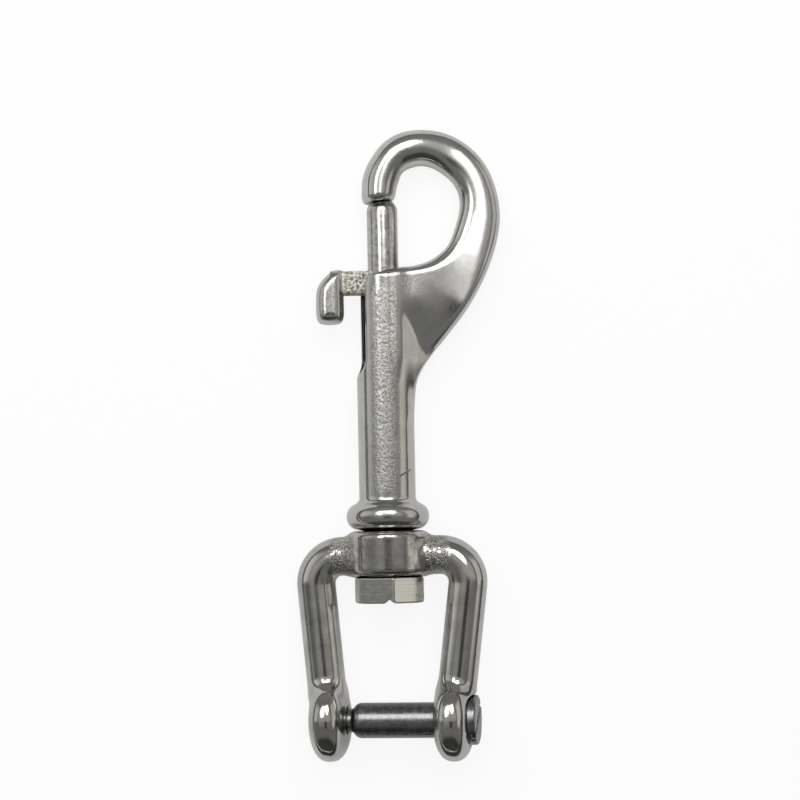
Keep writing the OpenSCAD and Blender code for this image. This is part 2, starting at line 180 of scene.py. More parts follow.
def skin(rule, low, high, step):
    """Vertices, faces and normals of the surface on which a rule is zero, in millimetres."""
    axes = [np.arange(a - step, b + 2 * step, step) for a, b in zip(low, high)]
    x, y, z = axes[0][:, None, None], axes[1][None, :, None], axes[2][None, None, :]
    total, count, edges = crossed_cells(np.broadcast_to(rule(x, y, z), [len(a) for a in axes]), axes)
    number = np.full(count.shape, -1)
    number[count > 0] = np.arange((count > 0).sum())
    points = total[count > 0] / count[count > 0][:, None]
    faces = []
    for round_edge, flip in edges:
        quad = np.stack([number[tuple(c.T)] for c in round_edge], 1)
        faces.append(np.where(flip[:, None], quad[:, ::-1], quad))
    for _ in range(SETTLE_PASSES):
        value, slope = slope_of(rule, points)
        move = value[:, None] * slope / np.maximum((slope**2).sum(1), LEAST_SLOPE)[:, None]
        points = points - np.clip(move, -step / 2, step / 2)
    slope = slope_of(rule, points)[1]
    return points, np.concatenate(faces).tolist(), slope / np.linalg.norm(slope, axis=1)[:, None]


ball = skin(lambda x, y, z: np.sqrt(x**2 + y**2 + z**2) - 2, (-2, -2, -2), (2, 2, 2), 0.5)[0]
ball_r = float(np.linalg.norm(ball, axis=1).mean())
print("a test ball of radius 2 mm:", len(ball), "vertices at", round(ball_r, 3), "mm")

# %% [markdown]
# ## From numbers to objects
# A skin becomes a mesh that carries its exact normals. Every object stays at the origin and holds its
# place in its mesh, as the CAD's pieces do. The shackle and its pin are drawn straight, and their points
# are turned about the barrel here.

# %% Make a mesh object
def turned_about_y(points, angle):
    c, s = math.cos(angle), math.sin(angle)
    return points @ np.array([[c, 0, -s], [0, 1, 0], [s, 0, c]])


def in_scene(name, data):
    """An object at the origin that shows a mesh, a lamp or a camera."""
    thing = bpy.data.objects.new(name, data)
    bpy.context.scene.collection.objects.link(thing)
    return thing


def metal_piece(name, points, faces, normals=None, turn=0.0):
    """A smooth mesh object, from places in millimetres."""
    if turn:
        points, normals = turned_about_y(points, turn), turned_about_y(normals, turn)
    mesh = bpy.data.meshes.new(name)
    mesh.from_pydata((points * MM).tolist(), [], faces)
    mesh.polygons.foreach_set("use_smooth", [True] * len(mesh.polygons))
    mesh.validate()
    if normals is not None:
        mesh.normals_split_custom_set_from_vertices(normals.tolist())
    print(name, len(mesh.polygons), "faces")
    return in_scene(name, mesh)


print("the shackle's X axis:", turned_about_y(np.array([[1.0, 0, 0]]), SHACKLE_TURN)[0].round(3))

# %% [markdown]
# ## The plan of the hook
# Seen from the front, the hook lies between two rails: an inner one round the eye and an outer one over
# the top and down the web. Each rail is a smooth curve through a few measured points. For any place in
# the plan we need its distance to both rails, so these distances are worked out once on a fine flat map
# and read back by cubic interpolation, which keeps the slope smooth.

# %% Rails through measured points
OUTER = [
    (-2.2, 84), (-3.0, 89), (-3.6, 93.6), (-3.55, 95.3), (-3.4, 97.2), (-2.3, 100.0), (0.2, 103.4),
    (3.4, 105.3), (7.3, HOOK_TOP), (11.65, 105.2), (15.6, 103.0), (18.65, 99.7), (20.5, 95.5),
    (21.3, 90.6), (20.75, 86.0), (19.4, 81.7), (17.55, 77.55), (14.9, 73.1), (12.0, 69.4), (9.0, 65.9),
    (6.75, 62.9), (5.45, 60.1), (4.7, 57.3), (3.6, 53.0),
]
INNER = [
    (1.0, 84), (1.8, 89), (2.45, 93.6), (2.6, 94.8), (2.95, 96.1), (3.6, 97.85), (4.5, 98.7),
    (5.7, 99.15), (7.3, 99.45), (9.4, 98.95), (11.3, 97.7), (12.9, 96.2), (13.9, 94.2), (14.1, 91.6),
    (13.2, 88.2), (11.8, 84.8), (9.4, 82.55), (7.2, 81.5), (5.0, 80.95), (2.0, 80.6), (-3.0, 80.5),
    (-8.0, 80.5),
]
RAIL_STEPS, RAIL_BLUR = 14, 25


def smooth_rail(points, steps=RAIL_STEPS):
    """A curve that passes through every point, as short straight segments."""
    p = np.array([points[0], *points, points[-1]], float)
    u = np.linspace(0, 1, steps, endpoint=False)[:, None]
    parts = [b + (c - a) * u / 2 + (a - 2.5 * b + 2 * c - d / 2) * u**2 + (1.5 * (b - c) + (d - a) / 2) * u**3
             for a, b, c, d in zip(p, p[1:], p[2:], p[3:])]
    return np.concatenate([*parts, p[-1:]])


def blurred(rows, passes):
    """Evens out the curve's bends and leaves its two ends."""
    for _ in range(passes):
        rows[1:-1] = (rows[:-2] + 2 * rows[1:-1] + rows[2:]) / 4
    return rows


outer_rail = blurred(smooth_rail(OUTER), RAIL_BLUR)
inner_rail = blurred(smooth_rail(INNER), RAIL_BLUR)
for name, rail in (("outer", outer_rail), ("inner", inner_rail)):
    print(name, "rail:", round(np.linalg.norm(np.diff(rail, axis=0), axis=1).sum(), 1), "mm long")

# %% [markdown]
# ## Maps of distance
# The sign of a distance comes from the rail's own normal, blended along each segment, so that the map has
# no creases. The places are worked out in parts, which keeps the memory small.

# %% Flat maps of the distance to each rail
MAP_STEP, MAP_PARTS = 0.2, 40
MAP_X, MAP_Y = np.arange(-9, 26, MAP_STEP), np.arange(50, 110, MAP_STEP)
NOSE_SEGMENTS, NOSE_REACH, IGNORED = 43, 86, 1e6


def rail_map(rail, side):
    """Signed distance to a rail, positive on its metal side, and how far along the rail that is.

    The first segments belong to the nose, so places below its reach ignore them."""
    a, b = rail[:-1], rail[1:]
    along = b - a
    normal = np.stack([-along[:, 1], along[:, 0]], 1) / np.linalg.norm(along, axis=1)[:, None] * side
    corner = np.concatenate([normal[:1], normal[:-1] + normal[1:], normal[-1:]])
    corner /= np.linalg.norm(corner, axis=1)[:, None]
    gx, gy = np.meshgrid(MAP_X, MAP_Y, indexing="ij")
    places = np.stack([gx.ravel(), gy.ravel()], 1)
    distance, reached = np.empty(len(places)), np.empty(len(places))
    for part in np.array_split(np.arange(len(places)), MAP_PARTS):
        p = places[part][:, None, :]
        t = np.clip(((p - a) * along).sum(2) / (along**2).sum(1), 0, 1)
        foot = a + along * t[:, :, None]
        away = ((p - foot) ** 2).sum(2)
        away[places[part][:, 1] < NOSE_REACH, :NOSE_SEGMENTS] = IGNORED
        k = away.argmin(1)
        row = np.arange(len(part))
        t, foot = t[row, k], foot[row, k]
        n = corner[k] * (1 - t)[:, None] + corner[k + 1] * t[:, None]
        n /= np.linalg.norm(n, axis=1)[:, None]
        distance[part] = ((places[part] - foot) * n).sum(1)
        reached[part] = (k + t) / len(a)
    return distance.reshape(gx.shape), reached.reshape(gx.shape)


from_outer, outer_share = rail_map(outer_rail, -1)
from_inner = rail_map(inner_rail, 1)[0]
print("each map has", from_outer.size, "places")

# %% [markdown]
# ## Reading a map between its places
# The nearest place would leave steps, and a straight blend would leave creases. A cubic blend of four by
# four places has a smooth slope, and polished steel shows every slope.

# %% Read a map at any place
def cubic_weights(t):
    return (
        (-t + 2 * t**2 - t**3) / 2,
        (2 - 5 * t**2 + 3 * t**3) / 2,
        (t + 4 * t**2 - 3 * t**3) / 2,
        (t**3 - t**2) / 2,
    )


def read_map(flat, x, y):
    """Reads a flat map at any place, by cubic interpolation."""
    u, v = (x - MAP_X[0]) / MAP_STEP, (y - MAP_Y[0]) / MAP_STEP
    u, v = np.broadcast_arrays(np.clip(u, 1, len(MAP_X) - 3), np.clip(v, 1, len(MAP_Y) - 3))
    i, j = u.astype(int), v.astype(int)
    wu, wv = cubic_weights(u - i), cubic_weights(v - j)
    return sum(wu[a] * wv[b] * flat[i + a - 1, j + b - 1] for a in range(4) for b in range(4))


BAR_TOP_X, BAR_TOP_Y = 7.3, 102.6
top_width = read_map(from_outer, BAR_TOP_X, BAR_TOP_Y) + read_map(from_inner, BAR_TOP_X, BAR_TOP_Y)
print("width of the bar at the top:", round(float(top_width), 2), "mm")

# %% [markdown]
# ## The cast hook
# The hook body is one casting: a round bar that widens into a flat web, a barrel and a collar. The bar's
# section is a superellipse between the two rails. On the web only the edges are rounded, and the face
# between them is flat. The web sinks towards its foot, so the barrel's round side comes out of it. The
# lever slot and the bore are cut last, with soft edges, as a tumbled casting has.

# %% Depth and squareness along the outer rail
HALF_DEPTHS = [
    (-3.6, 94, 3.0), (-2.3, 100, 3.15), (7.3, HOOK_TOP, 3.2), (18.6, 99.7, 3.2), (21.3, 90.6, 3.3),
    (19.4, 81.7, 3.6), (14.9, 73.1, 3.75), (10.5, 67.6, 2.9), (6.75, 62.9, 2.2), (4.7, 57.3, 1.6),
]
SQUARENESS = [
    (-3.6, 94, 2.2), (7.3, HOOK_TOP, 2.25), (20.5, 95.5, 2.6), (20.7, 86, 2.9), (17.5, 77.5, 3.2),
    (9, 65.9, 3.2),
]


def along_outer(points):
    """A map of a value that is given at some places along the outer rail."""
    marks = [np.argmin(((outer_rail - np.array(p[:2])) ** 2).sum(1)) / (len(outer_rail) - 1) for p in points]
    return np.interp(outer_share, marks, [p[2] for p in points])


def softened(flat, passes=40):
    """Evens out a map, so that the value changes gently."""
    for _ in range(passes):
        beside = np.roll(flat, 1, 0) + np.roll(flat, -1, 0) + np.roll(flat, 1, 1) + np.roll(flat, -1, 1)
        flat = (beside + 4 * flat) / 8
    return flat


half_depth, squareness = softened(along_outer(HALF_DEPTHS)), softened(along_outer(SQUARENESS))
print("half depth:", round(float(half_depth.min()), 1), "to", round(float(half_depth.max()), 1), "mm")

# %% [markdown]
# ## The bar and the web
# One rule serves both. Between the rails the section is a superellipse, whose power says how square it
# is. Beside the barrel the face first rises until it is flush with it, then sinks as one plane towards
# the web's thin end, and a slanting facet runs off the barrel's side.

# %% The bar's rule
OUTSIDE = 9.0
EYE_FOOT, GATE_MIDDLE = 84.0, 88.0
WEB_HALF, FACET_HALF, THIN_HALF = 4.4, 4.6, 1.2
PLANE_X, PLANE_Y, PLANE_Z, PLANE_UP, PLANE_ACROSS = 2.6, 71.9, 4.35, 0.36, 0.06
FACET_TILT, FACET_SINK = math.radians(27), 1.2


def section(a, z, deep, n):
    """A superellipse, whose share a across is 0 on the flat and 1 at the edge."""
    return deep * ((a**n + (np.abs(z) / deep) ** n) ** (1 / n) - 1)


def bar_rule(x, y, z):
    s_out, s_in = read_map(from_outer, x, y), read_map(from_inner, x, y)
    deep, n = read_map(half_depth, x, y), read_map(squareness, x, y)
    flush = ease(x, 14.0, 4.0) * ease(y, 66.0, 76.0)
    deep = deep + (WEB_HALF - deep) * flush
    sinking = PLANE_Z + PLANE_UP * (y - PLANE_Y) - PLANE_ACROSS * (x - PLANE_X)
    deep = np.where(y < EYE_FOOT, soft_max(soft_min(deep, sinking, 0.8), THIN_HALF, 0.6), deep)
    across, half = (s_in - s_out) / 2, np.maximum((s_in + s_out) / 2, 0.4)
    # The edge is rounded more tightly where the web's top runs into the barrel's rim
    rounding = 1.7 + 2.2 * ease(y, 73.0, 88.0) * np.where(y < GATE_MIDDLE, ease(x, 3.0, 11.0), 1.0)
    edge = soft_min(half, rounding, 0.8)
    a = np.maximum(np.abs(across) - (half - edge), 0) / edge
    facet = x * math.sin(FACET_TILT) + np.abs(z) * math.cos(FACET_TILT) - BARREL_R
    facet = soft_max(section(a, z, FACET_HALF, n), facet + FACET_SINK * ease(y, 65.0, 57.0), 0.6)
    facet = np.where((y < EYE_FOOT) & (x > 0), facet, OUTSIDE)
    return soft_min(section(a, z, deep, n), facet, 0.5)


print("the rule in the middle of the bar's top:", round(float(bar_rule(BAR_TOP_X, BAR_TOP_Y, 0.0)), 2), "mm")

# %% [markdown]
# ## The whole casting
# The barrel and the collar are round bars with rounded ends, joined to each other and to the web. Then
# the bore, the lever's slot and the socket for the plunger's tip are cut. A cut is a soft maximum with
# the hollow's rule turned inside out.

# %% The hook's rule
SLOT_Z, SLOT_SPARE, TIP_SPARE = 0.35, 0.25, 0.15


def round_bar(along, across, low, high, r, rounding):
    """A round bar with rounded ends."""
    mid, half = (low + high) / 2, (high - low) / 2
    d_r, d_y = across - r + rounding, np.abs(along - mid) - half + rounding
    return np.minimum(np.maximum(d_r, d_y), 0) + np.hypot(np.maximum(d_r, 0), np.maximum(d_y, 0)) - rounding


def hook_rule(x, y, z):
    r = np.hypot(x, z)
    bar = bar_rule(x, y, z)
    nose = soft_max(bar, NOSE_END - 0.45 + 0.1 * x - y, 1.2)
    bar = np.where(y > GATE_MIDDLE, np.where(x < 5, nose, bar), np.where(x > -6, bar, OUTSIDE))
    # The mouth stays open between the barrel and the nose
    bar = np.where((y < 92) & (x < 4.5) & (y > 81.5), np.maximum(bar, 2.0), bar)
    # Beside the barrel the bar ends inside it
    bar = np.where(y < GATE_MIDDLE, np.maximum(bar, 1.5 - x), bar)
    barrel = round_bar(y, r, BARREL_FOOT, BARREL_RIM, BARREL_R, 1.4)
    collar = round_bar(y, r, BARREL_FOOT, BARREL_FOOT + COLLAR_LENGTH - 0.5, COLLAR_R, COLLAR_ROUND)
    body = soft_min(barrel, collar, 1.1)
    # The fillet between barrel and web fades towards the barrel's middle
    fillet = np.maximum((1.2 + 0.5 * ease(y, 60.0, 68.0)) * ease(x, -0.5, 3.5), 0.05)
    body = soft_min(body, bar, np.where(y > GATE_MIDDLE, 0.01, fillet))
    bore = soft_min(np.maximum(r - BORE_R, BORE_FOOT - y), np.maximum(r - SHANK_R, y - BORE_FOOT), 0.05)
    body = soft_max(body, -np.maximum(bore, y - 86), 0.5)
    # The slot sits a little towards the front, and its lips are rounded where it meets the rim
    end = SLOT_FOOT + SLOT_HALF
    slot = np.where(y > end, np.abs(z - SLOT_Z), np.hypot(z - SLOT_Z, end - y)) - SLOT_HALF - SLOT_SPARE
    slot = soft_max(soft_min(slot, BARREL_RIM + 0.3 - y, 3.0), x + 0.6, 0.3)
    body = soft_max(body, -np.maximum(slot, y - EYE_FOOT), 0.9)
    # The barrel's upper corner beside the slot is cut at a slant
    corner = 0.6 * (-x - BARREL_R) + 0.8 * (y - BARREL_RIM) + 1.2
    body = soft_max(body, np.where((x < 0) & (y > 70) & (y < EYE_FOOT), corner, -OUTSIDE), 1.2)
    socket_r = PILOT_R + TIP_SPARE + np.maximum(NOSE_END + 0.3 - y, 0) * 0.9
    socket = np.maximum(r - socket_r, y - PILOT_TIP - TIP_SPARE)
    return soft_max(body, -np.maximum(socket, GATE_MIDDLE - y), 0.4)


hook = metal_piece("cast_hook", *skin(hook_rule, (-8, 33, -8), (22, 106.5, 8), 0.27))

# %% [markdown]
# ## The shackle
# The shackle is one forging: a hub that turns under the collar, two arms bent into legs, and an ear at
# each leg's end. The leg is a tube round a path of a line, a bend and a line. The flare above the ear is
# no shape of its own: the soft join of a round leg and a thick lens makes it.

# %% The shackle's rule
LEG_FOOT, FAR_AWAY = 5.2, 99.0


def half_bow(side, x, y, z):
    """One arm, its bend and its leg, as the distance to their middle line."""
    lean = LEAN[side]
    x = x * side
    corner = EAR_X + BOW_Y * math.tan(lean)
    bend_x = corner - BEND_R / math.tan(math.radians(45) - lean / 2)
    bend_y = BOW_Y - BEND_R
    angle = np.arctan2(y - bend_y, x - bend_x)
    on_bend = (angle > -lean) & (angle < math.pi / 2)
    bend = np.hypot(np.hypot(x - bend_x, y - bend_y) - BEND_R, z)
    arm = np.hypot(np.hypot(np.maximum(x - bend_x, 0), y - BOW_Y), z)
    top = np.array([bend_x + BEND_R * math.cos(lean), bend_y - BEND_R * math.sin(lean)])
    down = np.array([-math.sin(lean), -math.cos(lean)])
    reach = (top[1] - LEG_FOOT) / math.cos(lean)
    t = np.clip((x - top[0]) * down[0] + (y - top[1]) * down[1], 0, reach)
    leg = np.sqrt((x - top[0] - down[0] * t) ** 2 + (y - top[1] - down[1] * t) ** 2 + z**2)
    path = np.minimum(np.where(x > 0, arm, FAR_AWAY), leg)
    return np.where(on_bend, np.minimum(bend, path), path) - BAR_R


def ear(side, x, y, z):
    """An ear is a thick lens: its value is divided by its slope, which makes it a distance."""
    n, u, v = 2.5, np.abs(x * side - EAR_X) / EAR_BULGE, np.hypot(y, z) / EAR_R
    size = np.maximum((u**n + v**n) ** (1 / n), 0.05)
    slope = np.hypot((u / size) ** (n - 1) / EAR_BULGE, (v / size) ** (n - 1) / EAR_R)
    return (size - 1) / np.maximum(slope, 0.1)


def shackle_rule(x, y, z):
    r, across = np.hypot(x, z), np.hypot(y, z)
    hub = round_bar(y, r, HUB_FOOT, HUB_FOOT + HUB_LENGTH, HUB_R, 1.3)
    bow = hub
    for side in (-1, 1):
        bow = soft_min(bow, soft_min(half_bow(side, x, y, z), ear(side, x, y, z), 1.5), 1.5)
    bow = soft_max(bow, -(r - SHANK_R - CLEARANCE), 0.4)
    bow = soft_max(bow, -np.maximum(across - PIN_SEAT_R - CLEARANCE, -x), 0.5)
    bow = soft_max(bow, -np.maximum(across - THREAD_R - CLEARANCE, x), 0.5)
    return soft_max(bow, -np.maximum(across - PIN_HEAD_R - HEAD_ROOM, EAR_X + EAR_HALF - x), 0.3)


shackle_skin = skin(shackle_rule, (-18.5, -8, -8), (19, 34.5, 8), 0.25)
shackle = metal_piece("forged_shackle", *shackle_skin, turn=SHACKLE_TURN)

# %% [markdown]
# ## The thumb lever
# The lever is a small casting of its own: a knob for the thumb, an arm through the slot and a spigot in
# the plunger. The knob's outline in plan is a smooth closed rail, and its section is rounded as the
# hook's bar is.

# %% The lever's rule
KNOB_PLAN = [
    (-12.15, 75.6), (-11.9, 77.3), (-11.0, 78.8), (-9.6, 80.1), (-8.3, 80.6), (-7.5, 80.3), (-7.2, 78.6),
    (-7.2, 75.5), (-7.2, 72.6), (-7.6, 71.3), (-8.7, 70.9), (-10.7, 70.9), (-11.8, 71.4), (-12.15, 72.8),
]
KNOB_EDGE, KNOB_SQUARENESS, KNOB_HALF = 2.3, 2.7, 3.1
ARM_ROUND, SPIGOT_R, SPIGOT_END, TINY = 0.6, 1.4, 1.65, 1e-9
knob_rail = smooth_rail([*KNOB_PLAN, KNOB_PLAN[0]], 8)


def knob_depth(x, y):
    """Distance from the knob's outline, positive inside it."""
    x, y = np.broadcast_arrays(x, y)
    a, b = knob_rail[:-1], knob_rail[1:]
    p = np.stack([x.ravel(), y.ravel()], 1)
    distance = np.empty(len(p))
    inside = np.zeros(len(p), bool)
    for part in np.array_split(np.arange(len(p)), max(1, len(p) // 4000)):
        q = p[part][:, None, :]
        t = np.clip(((q - a) * (b - a)).sum(2) / np.maximum(((b - a) ** 2).sum(1), TINY), 0, 1)
        distance[part] = np.sqrt((((a + (b - a) * t[:, :, None]) - q) ** 2).sum(2).min(1))
        # A place is inside where a line from it to the right crosses the outline an odd number of times
        up = (a[:, 1] > q[:, :, 1]) != (b[:, 1] > q[:, :, 1])
        rise = np.where((b - a)[:, 1] == 0, TINY, (b - a)[:, 1])
        cross_x = a[:, 0] + (q[:, :, 1] - a[:, 1]) * (b - a)[:, 0] / rise
        inside[part] = (up & (q[:, :, 0] < cross_x)).sum(1) % 2 == 1
    return np.where(inside, distance, -distance).reshape(x.shape)


def lever_rule(x, y, z):
    share = np.maximum(1 - knob_depth(x, y) / KNOB_EDGE, 0)
    knob = section(share, z, KNOB_HALF, KNOB_SQUARENESS)
    d_y = np.abs(y - (ARM_FOOT + ARM_TOP) / 2) - (ARM_TOP - ARM_FOOT) / 2 + ARM_ROUND
    d_z = np.abs(z) - ARM_DEPTH / 2 + ARM_ROUND
    arm = np.hypot(np.maximum(d_y, 0), np.maximum(d_z, 0)) + np.minimum(np.maximum(d_y, d_z), 0) - ARM_ROUND
    arm = np.maximum(arm, np.maximum(-x - 9.5, x + 1.3))
    arm = np.maximum(arm, PLUNGER_R - np.hypot(x, z))
    spigot = np.maximum(np.hypot(y - ARM_MIDDLE, z) - SPIGOT_R, np.maximum(-x - 4, x - SPIGOT_END))
    return soft_min(soft_min(knob, arm, 0.5), spigot, 0.05)


lever = metal_piece("cast_lever", *skin(lever_rule, (-12.8, 70, -3.6), (2, 81.5, 3.6), 0.2))

# %% [markdown]
# ## Turned pieces
# The plunger is turned on a lathe, so a profile spun round the axis is its true shape. The profile's
# corners are rounded with small arcs, because no real edge is perfectly sharp and a rounded one catches
# the light.

# %% Spin a profile round the Y axis
SPIN_SIDES, SHARP_ANGLE, ARC_STEPS = 96, math.radians(35), 7


def rounded_profile(corners):
    """Profile points from (radius, height, rounding) corners."""
    rows = [(r, h) for r, h, _ in corners]
    out = [rows[0]]
    for (r0, h0), (r, h, rounding), (r1, h1) in zip(rows, corners[1:-1], rows[2:]):
        p, a, b = np.array([r, h]), np.array([r0, h0]), np.array([r1, h1])
        a, b = (a - p) / np.linalg.norm(a - p), (b - p) / np.linalg.norm(b - p)
        for t in np.linspace(0, 1, ARC_STEPS):
            out.append(tuple(p + a * rounding * (1 - t) ** 2 + b * rounding * t**2))
    return np.array([*out, rows[-1]])


def spun(name, corners, sides=SPIN_SIDES):
    profile = rounded_profile(corners)
    a = np.linspace(0, 2 * math.pi, sides, endpoint=False)
    ring = np.stack([np.cos(a), np.zeros(sides), np.sin(a)], 1)
    rows = profile[1:-1]
    ends = [[0, profile[0][1], 0], [0, profile[-1][1], 0]]
    points = np.concatenate([r * ring + [0, h, 0] for r, h in rows] + [ends])
    pairs = [(p, (p + 1) % sides) for p in range(sides)]
    first_end, last_end = len(points) - 2, len(points) - 1
    faces = []
    for row in range(0, (len(rows) - 1) * sides, sides):
        faces += [(row + p, row + sides + p, row + sides + q, row + q) for p, q in pairs]
    last = (len(rows) - 1) * sides
    faces += [(q, first_end, p) for p, q in pairs]
    faces += [(last + p, last_end, last + q) for p, q in pairs]
    piece = metal_piece(name, points, faces)
    piece.data.set_sharp_from_angle(angle=SHARP_ANGLE)
    return piece


PLUNGER_CORNERS = [
    (0, PLUNGER_TAIL, 0), (PLUNGER_R, PLUNGER_TAIL, 0.3), (PLUNGER_R, CONE_FOOT + 0.4, 0.9),
    (PILOT_R + 0.5, NOSE_END - 0.2, 0.35), (PILOT_R, NOSE_END, 0.2), (PILOT_R, PILOT_TIP, 0.4),
    (0, PILOT_TIP, 0),
]
plunger = spun("turned_plunger", PLUNGER_CORNERS)

# %% [markdown]
# ## The swivel pin's head
# The swivel pin holds the shackle's hub under the collar. Its six-sided head is cut from a round blank
# whose ends are chamfered, so each flat ends in the shallow curve that a nut has. A chisel mark crosses
# its end.

# %% The swivel pin's rule
HEAD_TURN = math.radians(5)
LOW_CHAMFER, HIGH_CHAMFER, CHAMFER_SLOPE = 0.35, 0.5, 1.6
MARK_SHIFT, MARK_SLOPE, MARK_DEPTH, MARK_STEEPNESS = 0.2, 0.9, 0.75, 1.35


def swivel_pin_rule(x, y, z):
    low, high, r = HEAD_TOP - HEAD_THICK, HEAD_TOP, np.hypot(x, z)
    flats = -OUTSIDE
    for k in range(6):
        a = math.radians(60 * k) + HEAD_TURN
        flats = soft_max(flats, x * math.cos(a) - z * math.sin(a) - HEAD_FLATS / 2, 0.25)
    beyond = r - HEAD_FLATS / 2
    low_end = beyond - LOW_CHAMFER - CHAMFER_SLOPE * (y - low)
    high_end = beyond - HIGH_CHAMFER - CHAMFER_SLOPE * (high - y)
    blank = soft_max(flats, np.maximum(low_end, high_end), 0.15)
    head = soft_max(blank, soft_max(low - y, y - high, 0.1), 0.25)
    mark = (np.abs(x + MARK_SHIFT) * MARK_SLOPE + (y - low) - MARK_DEPTH) / MARK_STEEPNESS
    head = soft_max(head, -mark, 0.2)
    shank = np.maximum(r - SHANK_R, np.maximum(HEAD_TOP - 1 - y, y - BORE_FOOT))
    return soft_min(head, shank, 0.3)


swivel_pin_skin = skin(swivel_pin_rule, (-7.4, 20.2, -7.4), (7.4, 41.5, 7.4), 0.22)
swivel_pin = metal_piece("swivel_pin_head", *swivel_pin_skin)

# %% [markdown]
# ## The shackle pin
# A screw pin: a plain shank for the ring, a relief groove beside the thread, and a low head with a
# driver slot. It is drawn along the X axis and then turned with the shackle.

# %% The shackle pin's rule
DRIVER_ANGLE, DRIVER_HALF, DRIVER_DEPTH = math.radians(37), 0.5, 0.9


def pin_rule(x, y, z):
    r = np.hypot(y, z)
    out, inner = EAR_X + EAR_HALF, EAR_X - EAR_HALF
    head_end = out + CLEARANCE + PIN_HEAD_T
    relief = np.maximum(r - RELIEF_R, np.maximum(-x - inner - 1, x))
    thread_core = np.maximum(r - THREAD_R + 0.25, np.maximum(-x - out + 0.4, x + inner))
    shank = round_bar(x, r, -inner + 1.7, inner + 1.0, PIN_R, 1.5)
    seat = np.maximum(r - PIN_SEAT_R, np.maximum(inner - CLEARANCE - x, x - out - 0.5))
    head = round_bar(x, r, out + CLEARANCE, head_end, PIN_HEAD_R, 0.35)
    pin = np.minimum(soft_min(soft_min(relief, shank, 0.4), thread_core, 0.3), seat)
    pin = soft_min(pin, head, 0.1)
    across = np.abs(y * math.cos(DRIVER_ANGLE) + z * math.sin(DRIVER_ANGLE))
    slot = np.maximum(across - DRIVER_HALF, head_end - DRIVER_DEPTH - x)
    return soft_max(pin, -slot, 0.2)


shackle_pin_skin = skin(pin_rule, (-14, -4.8, -4.8), (16, 4.8, 4.8), 0.2)
shackle_pin = metal_piece("screw_pin", *shackle_pin_skin, turn=SHACKLE_TURN)

# %% [markdown]
# ## Coils by Geometry Nodes
# The plunger's spring and the pin's thread are both a profile that follows a helix. One tree makes either:
# a spiral curve, a round wire swept along it, realized and given its metal. The sizes are named inputs of
# the tree, so the same tree serves both pieces.

# %% A tree that sweeps a wire along a helix
COIL_INPUTS = [
    ("Coil radius", "NodeSocketFloat"), ("Wire radius", "NodeSocketFloat"), ("Length", "NodeSocketFloat"),
    ("Turns", "NodeSocketFloat"), ("Steps per turn", "NodeSocketInt"), ("Metal", "NodeSocketMaterial"),
]
WIRE_SIDES = 12


def coil_tree():
    tree = bpy.data.node_groups.new("coil", "GeometryNodeTree")
    tree.interface.new_socket("Geometry", in_out="OUTPUT", socket_type="NodeSocketGeometry")
    for name, kind in COIL_INPUTS:
        tree.interface.new_socket(name, in_out="INPUT", socket_type=kind)
    new = tree.nodes.new
    entry, done = new("NodeGroupInput"), new("NodeGroupOutput")
    spiral, wire = new("GeometryNodeCurveSpiral"), new("GeometryNodeCurvePrimitiveCircle")
    sweep, smooth = new("GeometryNodeCurveToMesh"), new("GeometryNodeSetShadeSmooth")
    real, metal = new("GeometryNodeRealizeInstances"), new("GeometryNodeSetMaterial")
    wire.inputs["Resolution"].default_value = WIRE_SIDES
    sweep.inputs["Fill Caps"].default_value = True
    joins = [
        (entry, "Steps per turn", spiral, "Resolution"), (entry, "Turns", spiral, "Rotations"),
        (entry, "Coil radius", spiral, "Start Radius"), (entry, "Coil radius", spiral, "End Radius"),
        (entry, "Length", spiral, "Height"), (entry, "Wire radius", wire, "Radius"),
        (spiral, "Curve", sweep, "Curve"), (wire, "Curve", sweep, "Profile Curve"),
        (sweep, "Mesh", smooth, "Geometry"), (smooth, "Geometry", real, "Geometry"),
        (real, "Geometry", metal, "Geometry"), (entry, "Metal", metal, "Material"),
        (metal, "Geometry", done, "Geometry"),
    ]
    for source, output, target, slot in joins:
        tree.links.new(source.outputs[output], target.inputs[slot])
    return tree


coils = coil_tree()
print("coil inputs:", [s.name for s in coils.interface.items_tree if s.in_out == "INPUT"])

# %% [markdown]
# ## From the tree to a plain mesh
# The tree runs once as a modifier on an empty mesh. Its result is copied into a plain mesh and the
# modifier's object is deleted, because the export and the joints need meshes that are finished.

# %% Make a coil
def coil(name, metal, matrix, **sizes):
    """A coil from the tree's named inputs, with its lengths in millimetres."""
    source = in_scene(name + "_source", bpy.data.meshes.new(name + "_source"))
    modifier = source.modifiers.new("coil", "NODES")
    modifier.node_group = coils
    values = {
        "Coil radius": sizes["radius"] * MM, "Wire radius": sizes["wire"] * MM,
        "Length": sizes["length"] * MM, "Turns": sizes["turns"], "Steps per turn": sizes["steps"],
        "Metal": metal,
    }
    for socket in coils.interface.items_tree:
        if socket.in_out == "INPUT":
            modifier[socket.identifier] = values[socket.name]
    ready = source.evaluated_get(bpy.context.evaluated_depsgraph_get())
    mesh = bpy.data.meshes.new_from_object(ready)
    bpy.data.objects.remove(source)
    mesh.name = name
    mesh.transform(matrix)
    print(name, len(mesh.polygons), "faces")
    return in_scene(name, mesh)


to_y = Matrix.Rotation(math.radians(-90), 4, "X")
to_pin = Matrix.Rotation(SHACKLE_TURN, 4, "Y") @ Matrix.Rotation(math.radians(90), 4, "Y")
print("the thread's axis:", [round(v, 3) for v in to_pin @ Vector((0, 0, 1))])

# %% [markdown]
# ## Metals
# All the metal is stainless steel, so one recipe serves: a fully metallic shader, whose roughness and
# bump tell the pieces apart. A node reads the piece's own coordinates in millimetres, so a mark stays in
# its place on the metal from every side and on every pose.

